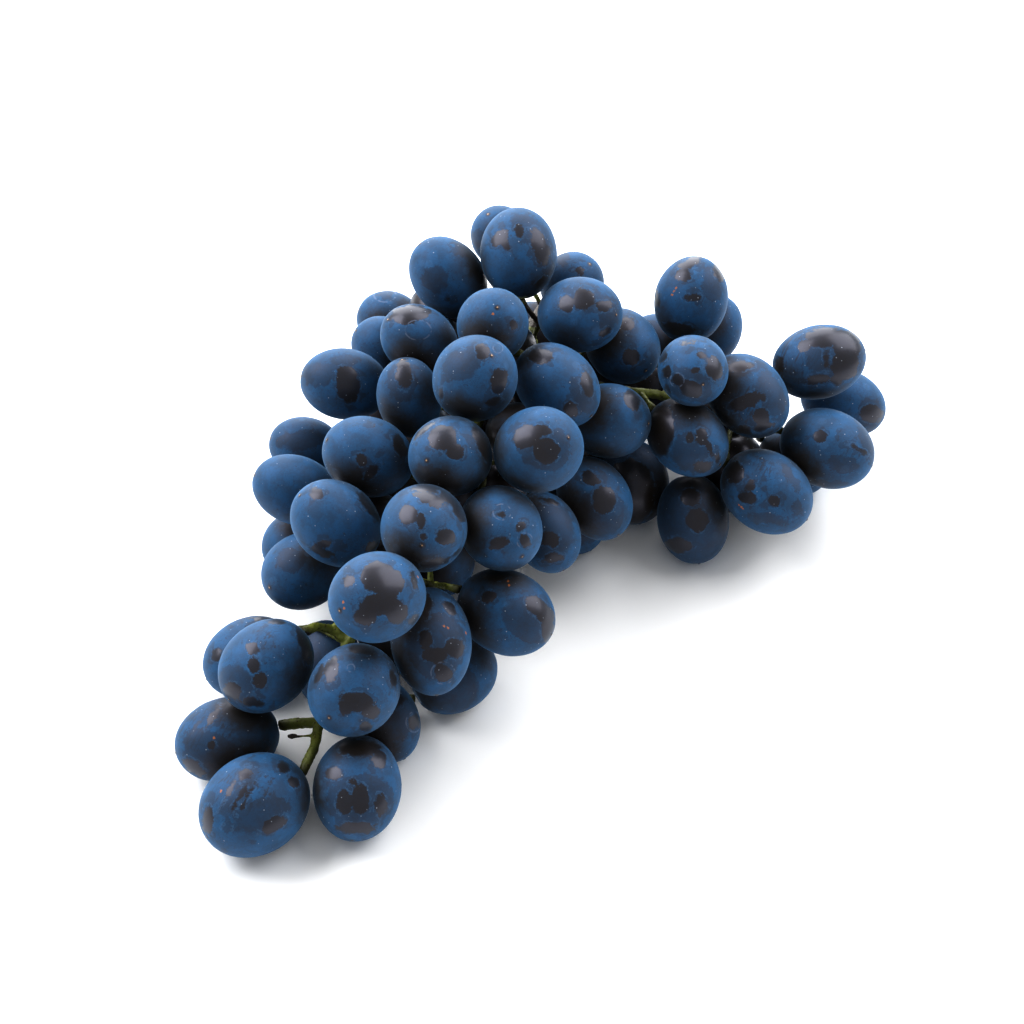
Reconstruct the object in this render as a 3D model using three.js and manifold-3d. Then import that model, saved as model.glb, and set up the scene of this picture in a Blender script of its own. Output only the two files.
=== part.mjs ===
// A bunch of dark blue oval table grapes, lying on a flat surface as picked: a full body with its cut stalk
// at the back, a thin tail that points at the viewer, and a side wing on a branch of its own. Millimetres,
// +X to the viewer's right, +Y away from the viewer, +Z up from the surface.
import * as THREE from "three";
import { mergeVertices } from "three/addons/utils/BufferGeometryUtils.js";
import Module from "manifold-3d";

const wasm = await Module();
wasm.setup();

// The view that the berries' places are given in: u to the right and v down, in pixels.
const PICTURE_MIDDLE = 512;
const FOCAL_LENGTH = 2050;
const VIEW_ELEVATION = 46; // degrees above the surface
const VIEW_DISTANCE = 570; // millimetres from the eye to the surface at the picture's middle

// Berries
const SKIN_GAP = 0.3; // between two berries that only touch
const FUSED_DEPTH = 1.6; // how far two berries of one node sink into each other
const FLAT_SPOT = 0.45; // how far the lowest berries are pressed flat by the surface
const SEEN_DETAIL = 2; // subdivisions of an icosahedron: 180 faces
const UNSEEN_DETAIL = 1; // 80 faces

// How the berries make room for each other
const SETTLE_ROUNDS = 700;
const ROOM_ROUNDS = 200; // rounds after berries gave way to a pedicel
const ROOM_PULL = 0.25; // how strongly they are drawn back in those, where the first rounds have 1
const PULL_SHARE = 0.8; // share of the rounds in which the pull fades away
const SIGHT_PULL = 0.3; // share of its drift off the sight line that a berry gives back in one round
const DEPTH_PULL = 0.012; // the same along the sight line
const SEEN_GIVE = 0.15; // how readily a berry that the picture shows gives way to one that it doesn't show
const REST_RANGE = 5; // berries this close to the surface sink to it
const REST_PULL = 0.15; // share of that way in one round
const GAP_TO_SPARE = 0.02;
const FAR_APART = 6; // berries with more than this between them aren't compared
const STEM_END_RANGE = 30; // from a berry's middle to the berries that its stem end keeps clear of
const COLLAR_ROOM = 1.5; // clear space round a stem end
const TOUCH_STEPS = 5; // steps towards the direction of two berries' widest gap
const TOUCH_EASE = 0.6;

// Places on the stem that show: the tail's last fork, and points along two pedicels.
const TAIL_END = { u: 319, v: 723, high: 14 };
const TAIL_TWIG = { u: 315, v: 744, high: 14 };
const LEFT_TWIG = [{ u: 326, v: 628, high: 24 }, { u: 340, v: 633, high: 23 }, { u: 347, v: 643, high: 21 }];

// Each berry that the picture shows. u, v: its middle. high: its middle's height above the surface. long,
// short: half-lengths. turn: where its blossom end points in the picture, in degrees up from the right. near:
// how far the blossom end then turns to the viewer, in degrees. via, stalk: the way and the thickness of a
// pedicel that shows. coarse: mostly behind others, so modelled with fewer faces.
const SEEN = [
  // the crown
  { u: 501, v: 237, high: 57, long: 9.2, short: 8.2, turn: 120, near: 40 },
  { u: 517, v: 254, high: 64, long: 12.3, short: 10.2, turn: 92, near: -12 },
  { u: 449, v: 280, high: 56, long: 12.1, short: 9.5, turn: 130, near: 15 },
  { u: 572, v: 284, high: 48, long: 9.4, short: 8.6, turn: 48, near: 40 },
  { u: 390, v: 322, high: 34, long: 9.6, short: 8.6, turn: 160, near: 10 },
  { u: 385, v: 346, high: 37, long: 9.2, short: 8.2, turn: 150, near: 20 },
  { u: 422, v: 341, high: 54, long: 11.3, short: 9, turn: 146, near: 30 },
  { u: 495, v: 330, high: 60, long: 11, short: 9.2, turn: 75, near: 66 },
  { u: 580, v: 315, high: 57, long: 12, short: 9.9, turn: 0, near: 38 },
  { u: 622, v: 346, high: 42, long: 11.5, short: 9.6, turn: -47, near: 38 },
  { u: 649, v: 351, high: 24, long: 11, short: 9, turn: 60, near: 0, coarse: true },
  // the body's upper half
  { u: 345, v: 384, high: 42, long: 12, short: 9.4, turn: 170, near: 15 },
  { u: 409, v: 397, high: 50, long: 10.8, short: 8.3, turn: 100, near: 25 },
  { u: 475, v: 379, high: 62, long: 12, short: 10.5, turn: 54, near: 55 },
  { u: 556, v: 384, high: 54, long: 12.5, short: 9.8, turn: -42, near: 20 },
  { u: 609, v: 419, high: 40, long: 11.4, short: 9.9, turn: -4, near: 25 },
  { u: 306, v: 448, high: 22, long: 10.2, short: 8.4, turn: 165, near: 15 },
  { u: 368, v: 457, high: 48, long: 12.2, short: 10, turn: 158, near: 25 },
  { u: 452, v: 456, high: 60, long: 11.5, short: 10, turn: 190, near: 60 },
  { u: 535, v: 453, high: 54, long: 12, short: 10.6, turn: 22, near: 50 },
  { u: 592, v: 500, high: 24, long: 11.8, short: 9.3, turn: -57, near: 15 },
  // the body's lower half
  { u: 296, v: 490, high: 28, long: 11.8, short: 9, turn: 160, near: 15 },
  { u: 336, v: 523, high: 42, long: 12.3, short: 10.2, turn: 142, near: 25 },
  { u: 425, v: 528, high: 52, long: 12, short: 10.4, turn: -96, near: 70 },
  { u: 500, v: 526, high: 47, long: 11.5, short: 10, turn: -53, near: 42 },
  { u: 546, v: 530, high: 25, long: 11, short: 8.7, turn: -65, near: 10 },
  { u: 304, v: 571, high: 20, long: 11.5, short: 9.7, turn: 206, near: 35 },
  { u: 301, v: 540, high: 9, long: 10.2, short: 8.8, turn: 208, near: 5, coarse: true },
  { u: 379, v: 594, high: 46, long: 12.2, short: 10.6, turn: 200, near: 42 },
  { u: 431, v: 641, high: 32, long: 13.3, short: 9.8, turn: -84, near: 12 },
  { u: 506, v: 612, high: 29, long: 12.7, short: 10.4, turn: -26, near: 12 },
  { u: 570, v: 515, high: 9, long: 11.5, short: 9.6, turn: -60, near: 0 },
  { u: 634, v: 483, high: 9, long: 11.7, short: 10, turn: -80, near: 0 },
  // the tail
  { u: 449, v: 683, high: 9, long: 11.4, short: 9.4, turn: 30, near: -8 },
  { u: 386, v: 712, high: 9, long: 11.5, short: 9.2, turn: -60, near: 0 },
  { u: 354, v: 690, high: 30, long: 12.2, short: 10.7, turn: 228, near: 45 },
  { u: 266, v: 666, high: 27, long: 12.6, short: 10.5, turn: 222, near: 20, via: LEFT_TWIG, stalk: 2.3 },
  { u: 254, v: 658, high: 10, long: 12.2, short: 9.8, turn: 208, near: 5 },
  { u: 325, v: 664, high: 10, long: 11.8, short: 8.8, turn: 100, near: -10, coarse: true },
  { u: 228, v: 741, high: 9, long: 13, short: 10.2, turn: 194, near: 10, via: [TAIL_END], stalk: 2.7 },
  {
    u: 254, v: 803, high: 10, long: 13.9, short: 11.8, turn: 213, near: 18,
    via: [TAIL_TWIG, TAIL_END], stalk: 2.5,
  },
  { u: 358, v: 786, high: 10, long: 12.8, short: 10.6, turn: 264, near: 15 },
  // the wing
  { u: 691, v: 300, high: 48, long: 12, short: 10, turn: 78, near: 8 },
  { u: 709, v: 331, high: 30, long: 10.6, short: 8.8, turn: 60, near: 0, coarse: true },
  { u: 693, v: 371, high: 50, long: 10.8, short: 9.1, turn: -55, near: 66 },
  { u: 747, v: 396, high: 40, long: 12.6, short: 10, turn: -48, near: 20 },
  { u: 687, v: 437, high: 32, long: 12.3, short: 9.6, turn: -40, near: 25 },
  { u: 691, v: 514, high: 9, long: 12.2, short: 9.7, turn: -82, near: 0 },
  { u: 767, v: 489, high: 22, long: 13, short: 10.6, turn: -35, near: 5 },
  { u: 825, v: 450, high: 30, long: 13, short: 10.6, turn: -22, near: 10 },
  { u: 819, v: 362, high: 38, long: 12.8, short: 10, turn: 14, near: 5 },
  { u: 843, v: 402, high: 16, long: 12.4, short: 9.2, turn: -22, near: -10 },
  { u: 793, v: 462, high: 9, long: 10.6, short: 9, turn: -35, near: 0, coarse: true },
];

// The main axis from the cut end of the stalk to the tail, and the wing's branch from the axis out, each
// point as its place in the view, its height and the stem's thickness there.
const AXIS = [
  { u: 563, v: 272, high: 14, thick: 5.4 },
  { u: 561, v: 284, high: 22, thick: 4.6 },
  { u: 547, v: 304, high: 29, thick: 4.2 },
  { u: 519, v: 348, high: 34, thick: 4 },
  { u: 482, v: 413, high: 34, thick: 3.7 },
  { u: 443, v: 490, high: 31, thick: 3.4 },
  { u: 401, v: 575, high: 28, thick: 3.1 },
  { u: 366, v: 620, high: 25, thick: 2.9 },
  { u: 347, v: 643, high: 21, thick: 2.8 },
  { u: 330, v: 690, high: 16, thick: 2.7 },
  { ...TAIL_END, thick: 2.6 },
];
const WING = [
  { u: 519, v: 348, high: 34, thick: 3 },
  { u: 592, v: 385, high: 31, thick: 2.8 },
  { u: 641, v: 393, high: 29, thick: 2.7 },
  { u: 666, v: 396, high: 27, thick: 2.6 },
  { u: 730, v: 424, high: 23, thick: 2.4 },
  { u: 780, v: 430, high: 22, thick: 2.1 },
];

// Twigs without a berry: a pedicel's stump and a dried berry's thin stalk.
const BARE_TWIGS = [
  { from: { u: 347, v: 643, high: 21 }, to: { u: 336, v: 622, high: 25 }, thick: [2.4, 1.8, 2.2] },
  { from: { u: 317, v: 735, high: 14 }, to: { u: 296, v: 736.5, high: 13.5 }, thick: [0.9, 0.7, 0.7] },
];
const DRIED_BERRY = { u: 292, v: 736, high: 13.5, long: 1.5, short: 0.75 };

// Berries that darken the gaps between the ones in front of them.
const SHADED = [
  { u: 380, v: 420, high: 24 },
  { u: 402, v: 484, high: 28 },
  { u: 428, v: 436, high: 26 },
];

// Berries under and behind the others: they fill the bunch round its axis out to these half-widths.
const BODY_REACH = [0, 0, 20, 38, 40, 38, 32, 24, 22, 14, 0];
const WING_REACH = [26, 22, 21, 21, 21, 18];
const UNSEEN_SEED = 3;
const UNSEEN_TRIES = 6000;
const UNSEEN_MOST = 30;
const WING_SHARE = 0.22; // share of the tries that go to the wing
const UNSEEN_SHORT = 9; // least half-width; the most is one more
const UNSEEN_STRETCH = 1.22; // half-length over half-width
const UNSEEN_LEAN = 0.3; // how far one may lean along the bunch as it points out of it
const UNSEEN_CLOSEST = 14; // from the axis to an unseen berry's middle
const UNSEEN_LOW = 1; // how far a new berry may reach under the surface before it is pushed up
const UNSEEN_SQUEEZE = 4; // how far a new berry may press into the others before they make room
const UNSEEN_NODES = 5;
const UNSEEN_IN_NODE = 7;
const LINK_LONGEST = 25; // between the middles of two berries of one node

// Stem
const PEDICEL_THICK = 1.3;
const PEDICEL_SHAPE = [2.8, PEDICEL_THICK, PEDICEL_THICK, 1.5, 1.9]; // wide at the berry and at the fork
const PEDICEL_STRAIGHT = 2.2; // how far it runs straight out of the berry's stem end
const PEDICEL_STEP = 2.2; // between the points that it is bent at
const PEDICEL_LEAST = 0.2; // least space from a pedicel to a berry
const PEDICEL_LOW = 0.2; // and to the surface
const PEDICEL_ROOM = 0.55; // the space that bending aims at
const PEDICEL_RANGE = 12; // from a pedicel to the berries that it is bent clear of
const PEDICEL_TRIES = 6;
const BEND_ROUNDS = 80;
const BEND_EASE = 0.3; // how far a point is drawn to the middle of its neighbours in one round
const JOINTS_TRIED = 24;
const JOINT_SHARES = [0, 0.25, 0.5, 0.75]; // places on each stretch of a branch that a pedicel may grow from
const STEM_GAP = 0.25; // between the stem and the berries
const TWIG_STEP = 6; // between the rings of a twig
const TWIG_SIDES = 4;
const BRANCH_SIDES = 6;

const GROUND_SIZE = 600;
const SAME_POINT = 1e-4; // corners closer than this are one
const LINE_END = 0.001; // keeps a place on a line short of its last point
const SKIN_COLOUR = 0x1d3354;
const BARK_COLOUR = 0x8a8f3c;
const UP = new THREE.Vector3(0, 0, 1);
const DOWN = new THREE.Vector3(0, 0, -1);

function seededRandom(seed) {
  let state = seed;
  return () => {
    state = (state * 1664525 + 1013904223) % 4294967296;
    return state / 4294967296;
  };
}

const elevation = THREE.MathUtils.degToRad(VIEW_ELEVATION);
const eye = new THREE.Vector3(0, -Math.cos(elevation), Math.sin(elevation)).multiplyScalar(VIEW_DISTANCE);
const viewRight = new THREE.Vector3(1, 0, 0);
const viewAhead = eye.clone().negate().normalize();
const viewUp = new THREE.Vector3().crossVectors(viewRight, viewAhead);

function placeOf(u, v, high) {
  const sight = viewAhead.clone()
    .addScaledVector(viewRight, (u - PICTURE_MIDDLE) / FOCAL_LENGTH)
    .addScaledVector(viewUp, (PICTURE_MIDDLE - v) / FOCAL_LENGTH);
  return eye.clone().addScaledVector(sight, (high - eye.z) / sight.z);
}

function blossomWay(place, turn, near) {
  const toViewer = eye.clone().sub(place).normalize();
  const right = new THREE.Vector3().crossVectors(viewUp, toViewer).normalize();
  const up = new THREE.Vector3().crossVectors(toViewer, right);
  const [a, b] = [THREE.MathUtils.degToRad(turn), THREE.MathUtils.degToRad(near)];
  return right.multiplyScalar(Math.cos(a) * Math.cos(b))
    .addScaledVector(up, Math.sin(a) * Math.cos(b))
    .addScaledVector(toViewer, Math.sin(b));
}

// The berry's point that lies farthest along a direction, from its middle.
function outermost(berry, way) {
  const along = way.dot(berry.way);
  const size = Math.sqrt(berry.long ** 2 * along ** 2 + berry.short ** 2 * (1 - along ** 2));
  const point = way.clone().multiplyScalar(berry.short ** 2 / size);
  return point.addScaledVector(berry.way, (berry.long ** 2 - berry.short ** 2) * along / size);
}

function reach(berry, way) {
  return outermost(berry, way).dot(way);
}

// The clear space between two berries and the direction that it is widest in.
function clearance(one, other) {
  const apart = other.place.clone().sub(one.place);
  const way = apart.clone().normalize();
  for (let step = 0; step < TOUCH_STEPS; step++) {
    const between = apart.clone().sub(outermost(one, way)).sub(outermost(other, way));
    between.addScaledVector(way, -between.dot(way));
    way.addScaledVector(between, TOUCH_EASE / apart.length()).normalize();
  }
  return { space: apart.dot(way) - reach(one, way) - reach(other, way), way };
}

function nearestOnLine(line, place) {
  let best = { gap: Infinity };
  for (let i = 0; i + 1 < line.length; i++) {
    const piece = new THREE.Line3(line[i], line[i + 1]);
    const share = piece.closestPointToPointParameter(place, true);
    const point = piece.at(share, new THREE.Vector3());
    if (point.distanceTo(place) < best.gap) best = { gap: point.distanceTo(place), point, at: i + share };
  }
  return best;
}

function valueAt(values, at) {
  const i = Math.min(Math.floor(at), values.length - 2);
  return THREE.MathUtils.lerp(values[i], values[i + 1], at - i);
}

const axisLine = AXIS.map(({ u, v, high }) => placeOf(u, v, high));
const wingLine = WING.map(({ u, v, high }) => placeOf(u, v, high));
const branches = [
  { line: axisLine, thick: AXIS.map(({ thick }) => thick), reach: BODY_REACH },
  { line: wingLine, thick: WING.map(({ thick }) => thick), reach: WING_REACH },
];

// About how far a point is outside a berry, and the way out of its skin there.
function distanceOutside(berry, point) {
  const off = point.clone().sub(berry.place);
  const along = off.dot(berry.way);
  const across = off.clone().addScaledVector(berry.way, -along);
  const scaled = Math.sqrt((along / berry.long) ** 2 + across.lengthSq() / berry.short ** 2);
  const normal = across.multiplyScalar(1 / berry.short ** 2)
    .addScaledVector(berry.way, along / berry.long ** 2);
  return { space: off.length() * (1 - 1 / scaled), normal: normal.normalize() };
}

// The point this far beyond a berry's stem end, straight out.
function stemEnd(berry, beyond) {
  return berry.place.clone().addScaledVector(berry.way, -berry.long - beyond);
}

function seenBerries() {
  return SEEN.map(({ u, v, high, long, short, turn, near, via, stalk, coarse }, i) => {
    const place = placeOf(u, v, high);
    return {
      node: `berry_${String(i + 1).padStart(2, "0")}`, place, long, short, way: blossomWay(place, turn, near),
      drawn: place.clone(), sight: place.clone().sub(eye).normalize(), give: SEEN_GIVE, via, stalk,
      detail: coarse ? UNSEEN_DETAIL : SEEN_DETAIL,
    };
  });
}

// Whether the sight line from the eye to a point runs into the berry before it gets there.
function hides(berry, point) {
  const line = point.clone().sub(eye);
  const squash = (vector) => {
    const along = vector.dot(berry.way);
    return vector.clone().addScaledVector(berry.way, -along).multiplyScalar(1 / berry.short)
      .addScaledVector(berry.way, along / berry.long);
  };
  const start = squash(eye.clone().sub(berry.place));
  const way = squash(line);
  const share = -start.dot(way) / way.lengthSq();
  return share > 0 && share < 1 && start.addScaledVector(way, share).length() < 1;
}

function isUnseen(berry, front) {
  const toViewer = eye.clone().sub(berry.place).normalize();
  const right = new THREE.Vector3().crossVectors(viewUp, toViewer).normalize();
  const up = new THREE.Vector3().crossVectors(toViewer, right);
  const rim = [0, 1, 2, 3, 4, 5, 6, 7].map((i) => (i * Math.PI) / 4).map((angle) => berry.place.clone()
    .addScaledVector(right, Math.cos(angle) * berry.long).addScaledVector(up, Math.sin(angle) * berry.long));
  return [berry.place, ...rim].every((point) => front.some((other) => hides(other, point)));
}

// A berry that points away from the branch that it grows from.
function outwardBerry(place, short, line) {
  const way = place.clone().sub(nearestOnLine(line, place).point).normalize();
  const sight = place.clone().sub(eye).normalize();
  return {
    place, long: short * UNSEEN_STRETCH, short, way, drawn: place.clone(), sight,
    detail: UNSEEN_DETAIL, give: 1,
  };
}

// The berries that the others hide: the shaded ones, and those tried at seeded random places round the axis
// and the wing's branch, and kept where there is room and the viewer can't see them.
function unseenBerries(front) {
  const random = seededRandom(UNSEEN_SEED);
  const found = SHADED.map(({ u, v, high }) => outwardBerry(placeOf(u, v, high), UNSEEN_SHORT, axisLine));
  for (let i = 0; i < UNSEEN_TRIES && found.length < UNSEEN_MOST; i++) {
    const onWing = random() < WING_SHARE;
    const { line, reach: reaches } = branches[onWing ? 1 : 0];
    const at = random() * (line.length - 1 - LINE_END);
    const middle = line[Math.floor(at)].clone().lerp(line[Math.floor(at) + 1], at % 1);
    const turn = random() * 2 * Math.PI;
    const out = new THREE.Vector3(Math.cos(turn), UNSEEN_LEAN * (random() - 0.5), Math.sin(turn)).normalize();
    const short = UNSEEN_SHORT + random();
    const far = UNSEEN_CLOSEST + random() * (valueAt(reaches, at) - UNSEEN_CLOSEST);
    const place = middle.clone().addScaledVector(out, far);
    const berry = outwardBerry(place, short, line);
    if (place.z < short - UNSEEN_LOW || far < UNSEEN_CLOSEST) continue;
    if (!isUnseen(berry, front)) continue;
    if ([...front, ...found].some((other) => clearance(other, berry).space < -UNSEEN_SQUEEZE)) continue;
    found.push(berry);
  }
  return found;
}

// Neighbours among the unseen berries share a node: each newcomer is linked to the nearest one in its node.
// Only the fullest nodes are kept.
function shareNodes(berries) {
  const waiting = [...berries].sort((a, b) => a.place.y - b.place.y);
  const groups = [];
  while (waiting.length) {
    const group = { members: [waiting.shift()], links: [] };
    while (waiting.length && group.members.length < UNSEEN_IN_NODE) {
      const pairs = waiting.flatMap((free) => group.members.map((member) => (
        { free, member, far: free.place.distanceTo(member.place) })));
      const { free, member, far } = pairs.sort((a, b) => a.far - b.far)[0];
      if (far > LINK_LONGEST) break;
      group.members.push(free);
      group.links.push([free, member]);
      waiting.splice(waiting.indexOf(free), 1);
    }
    groups.push(group);
  }
  const kept = groups.sort((a, b) => b.members.length - a.members.length).slice(0, UNSEEN_NODES);
  kept.forEach(({ members }, i) => members.forEach((berry) => { berry.node = `berries_under_${i + 1}`; }));
  return { unseen: kept.flatMap(({ members }) => members), links: kept.flatMap((group) => group.links) };
}

function nudge(berry, way, far) {
  berry.place.addScaledVector(way, far);
}

// Lets the berries make room for each other while each is drawn back to its place in the view.
function settle(berries, links, rounds, strength) {
  const linked = new Map(links.map(([a, b]) => [a, b]));
  const isLinked = (a, b) => linked.get(a) === b || linked.get(b) === a;
  for (let round = 0; round < rounds; round++) {
    const pull = strength * Math.max(0, 1 - round / (PULL_SHARE * rounds));
    for (const berry of berries) {
      const drift = berry.drawn.clone().sub(berry.place);
      const along = drift.dot(berry.sight);
      drift.addScaledVector(berry.sight, -along);
      nudge(berry, drift, SIGHT_PULL * pull);
      nudge(berry, berry.sight, along * DEPTH_PULL * pull);
    }
    for (let i = 0; i < berries.length; i++) {
      for (let j = i + 1; j < berries.length; j++) {
        const [a, b] = [berries[i], berries[j]];
        if (a.place.distanceTo(b.place) > a.long + b.long + FAR_APART) continue;
        const { space, way } = clearance(a, b);
        const miss = isLinked(a, b) ? -FUSED_DEPTH - space : Math.max(0, SKIN_GAP + GAP_TO_SPARE - space);
        nudge(a, way, (-miss * a.give) / (a.give + b.give));
        nudge(b, way, (miss * b.give) / (a.give + b.give));
      }
    }
    for (const berry of berries) {
      for (const { line, thick } of branches) {
        const near = nearestOnLine(line, berry.place);
        const way = berry.place.clone().sub(near.point).normalize();
        const miss = reach(berry, way) + valueAt(thick, near.at) / 2 + SKIN_GAP - near.gap;
        if (miss > 0) nudge(berry, way, miss);
      }
      for (const other of berries) {
        if (other === berry || other.place.distanceTo(berry.place) > STEM_END_RANGE) continue;
        const { space, normal } = distanceOutside(other, stemEnd(berry, COLLAR_ROOM));
        const miss = COLLAR_ROOM + SKIN_GAP - space;
        if (miss > 0) {
          nudge(berry, normal, miss / 2);
          nudge(other, normal, -miss / 2);
        }
      }
      const low = reach(berry, DOWN) - FLAT_SPOT;
      if (berry.place.z < low + REST_RANGE) berry.place.z -= REST_PULL * (berry.place.z - low);
      berry.place.z = Math.max(berry.place.z, low);
    }
  }
}

// A tapering twig along points: rings of a few sides swept along the way, each brought to its own thickness.
function twigSolid(points, thick, sides) {
  const way = new THREE.CatmullRomCurve3(points, false, "centripetal");
  const steps = Math.max(2, Math.round(way.getLength() / TWIG_STEP));
  const ring = new THREE.Shape();
  ring.absarc(0, 0, 1, 0, 2 * Math.PI, false);
  const outline = new THREE.Shape(ring.getSpacedPoints(sides).slice(0, sides));
  const geometry = new THREE.ExtrudeGeometry(outline, { steps, extrudePath: way, curveSegments: 1 });
  const middles = way.getSpacedPoints(steps);
  const position = geometry.attributes.position;
  const corner = new THREE.Vector3();
  for (let i = 0; i < position.count; i++) {
    corner.fromBufferAttribute(position, i);
    const gaps = middles.map((middle) => Math.abs(middle.distanceTo(corner) - 1));
    const at = gaps.indexOf(Math.min(...gaps));
    const size = valueAt(thick, (at / steps) * (thick.length - 1)) / 2;
    corner.sub(middles[at]).multiplyScalar(size).add(middles[at]);
    position.setXYZ(i, ...corner.toArray());
  }
  return asSolid(geometry);
}

// Bends a pedicel's points clear of the berries; the ends stay. Gives the least clear space round it.
function bendClear(points, berries, half) {
  const near = berries.filter((berry) => points.some((p) => (
    p.distanceTo(berry.place) < berry.long + PEDICEL_RANGE)));
  for (let round = 0; round < BEND_ROUNDS; round++) {
    for (let i = 1; i < points.length - 1; i++) {
      const middle = points[i - 1].clone().add(points[i + 1]).multiplyScalar(0.5);
      points[i].lerp(middle, BEND_EASE);
      for (const berry of near) {
        const { space, normal } = distanceOutside(berry, points[i]);
        const miss = half + PEDICEL_ROOM - space;
        if (miss > 0) points[i].addScaledVector(normal, miss);
      }
      points[i].z = Math.max(points[i].z, half + PEDICEL_LOW);
    }
  }
  const checks = points.slice(1).flatMap((p, i) => (i ? [p, p.clone().lerp(points[i], 0.5)] : [p]));
  return Math.min(...checks.flatMap((p) => near.map((berry) => distanceOutside(berry, p).space))) - half;
}

function pointsBetween(from, to) {
  const count = Math.max(2, Math.round(from.distanceTo(to) / PEDICEL_STEP));
  return Array.from({ length: count }, (_, i) => from.clone().lerp(to, (i + 1) / count));
}

// One pedicel for each berry, from its stem end to the nearest stem point that it can reach clear of the
// berries, the innermost berries first, so that later pedicels may branch off earlier ones.
function growPedicels(berries) {
  const joints = branches.flatMap(({ line }) => line.slice(1).flatMap((p, i) => (
    JOINT_SHARES.map((share) => line[i].clone().lerp(p, share)))));
  const lines = branches.map(({ line }) => line);
  const farOut = (berry) => Math.min(...lines.map((line) => nearestOnLine(line, stemEnd(berry, 0)).gap));
  const found = [];
  for (const berry of [...berries].sort((a, b) => farOut(a) - farOut(b))) {
    const start = stemEnd(berry, SKIN_GAP);
    const leave = stemEnd(berry, PEDICEL_STRAIGHT);
    const half = PEDICEL_THICK / 2;
    if (berry.via) {
      const points = [start, leave, ...berry.via.map(({ u, v, high }) => placeOf(u, v, high))];
      found.push({ berry, points, clear: Infinity });
      continue;
    }
    const options = [...joints].sort((a, b) => a.distanceTo(leave) - b.distanceTo(leave))
      .slice(0, JOINTS_TRIED);
    let best = { clear: -Infinity };
    for (const joint of options) {
      const points = [start, leave, ...pointsBetween(leave, joint)].map((p) => p.clone());
      const clear = bendClear(points, berries, half);
      if (clear > best.clear) best = { clear, points };
      if (clear > SKIN_GAP) break;
    }
    found.push({ berry, ...best });
    joints.push(...best.points.slice(2, -1));
  }
  return found;
}

// Berries that press on a pedicel give way, and the pedicels are grown again.
function roomyPedicels(berries, links) {
  let found = growPedicels(berries);
  for (let attempt = 0; attempt < PEDICEL_TRIES; attempt++) {
    const tight = found.filter(({ clear }) => clear < PEDICEL_LEAST);
    if (!tight.length) break;
    for (const { points } of tight) {
      for (const point of points.slice(1)) {
        for (const other of berries) {
          const { space, normal } = distanceOutside(other, point);
          const miss = PEDICEL_THICK / 2 + SKIN_GAP - space;
          if (miss > 0) nudge(other, normal, -miss);
        }
      }
    }
    settle(berries, links, ROOM_ROUNDS, ROOM_PULL);
    found = growPedicels(berries);
  }
  return found;
}

// The stem in one piece, hollowed where it would touch a berry.
function stemSolid(pedicels, berries) {
  const parts = branches.map(({ line, thick }) => twigSolid(line, thick, BRANCH_SIDES));
  for (const { points, berry } of pedicels) {
    const shape = berry.stalk ? PEDICEL_SHAPE.map((thick) => Math.max(thick, berry.stalk)) : PEDICEL_SHAPE;
    parts.push(twigSolid(points, shape, berry.stalk ? BRANCH_SIDES : TWIG_SIDES));
  }
  for (const { from, to, thick } of BARE_TWIGS) {
    const ends = [from, to].map(({ u, v, high }) => placeOf(u, v, high));
    parts.push(twigSolid([ends[0], ends[0].clone().lerp(ends[1], 0.5), ends[1]], thick, TWIG_SIDES));
  }
  const { u, v, high, long, short } = DRIED_BERRY;
  parts.push(berrySolid({ place: placeOf(u, v, high), way: viewRight, long, short, detail: 0 }));
  const whole = parts.reduce((all, part) => all.add(part));
  return berries.reduce((stem, berry) => stem.subtract(berrySolid({
    ...berry, long: berry.long + STEM_GAP, short: berry.short + STEM_GAP,
  })), whole);
}

function asSolid(geometry) {
  const bare = geometry.clone();
  bare.deleteAttribute("normal");
  bare.deleteAttribute("uv");
  const merged = mergeVertices(bare, SAME_POINT);
  return new wasm.Manifold(new wasm.Mesh({
    numProp: 3, vertProperties: new Float32Array(merged.attributes.position.array),
    triVerts: new Uint32Array(merged.index.array),
  }));
}

function asMesh(name, solid, material) {
  const { vertProperties, triVerts } = solid.getMesh();
  const geometry = new THREE.BufferGeometry();
  geometry.setAttribute("position", new THREE.BufferAttribute(vertProperties, 3));
  geometry.setIndex(new THREE.BufferAttribute(triVerts, 1));
  geometry.computeVertexNormals();
  const mesh = new THREE.Mesh(geometry, material);
  mesh.name = name;
  return mesh;
}

function berrySolid(berry) {
  const geometry = new THREE.IcosahedronGeometry(1, berry.detail);
  geometry.scale(berry.short, berry.short, berry.long);
  geometry.applyQuaternion(new THREE.Quaternion().setFromUnitVectors(UP, berry.way));
  geometry.translate(...berry.place.toArray());
  return asSolid(geometry);
}

// The surface as a block that cuts the flat spots.
function groundSolid() {
  const block = new THREE.BoxGeometry(GROUND_SIZE, GROUND_SIZE, GROUND_SIZE);
  block.translate(0, 0, -GROUND_SIZE / 2);
  return asSolid(block);
}

const berrySkin = new THREE.MeshStandardMaterial({ color: SKIN_COLOUR, roughness: 0.45, metalness: 0 });
const stemBark = new THREE.MeshStandardMaterial({ color: BARK_COLOUR, roughness: 0.7, metalness: 0 });

const seen = seenBerries();
const { unseen, links } = shareNodes(unseenBerries(seen));
const berries = [...seen, ...unseen];
settle(berries, links, SETTLE_ROUNDS, 1);

const bunch = new THREE.Group();
bunch.add(asMesh("stem", stemSolid(roomyPedicels(berries, links), berries), stemBark));
const ground = groundSolid();
const nodes = new Map();
for (const berry of berries) {
  const solid = berrySolid(berry);
  nodes.set(berry.node, nodes.has(berry.node) ? nodes.get(berry.node).add(solid) : solid);
}
for (const [name, solid] of nodes) {
  bunch.add(asMesh(name, solid.subtract(ground), berrySkin));
}

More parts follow.
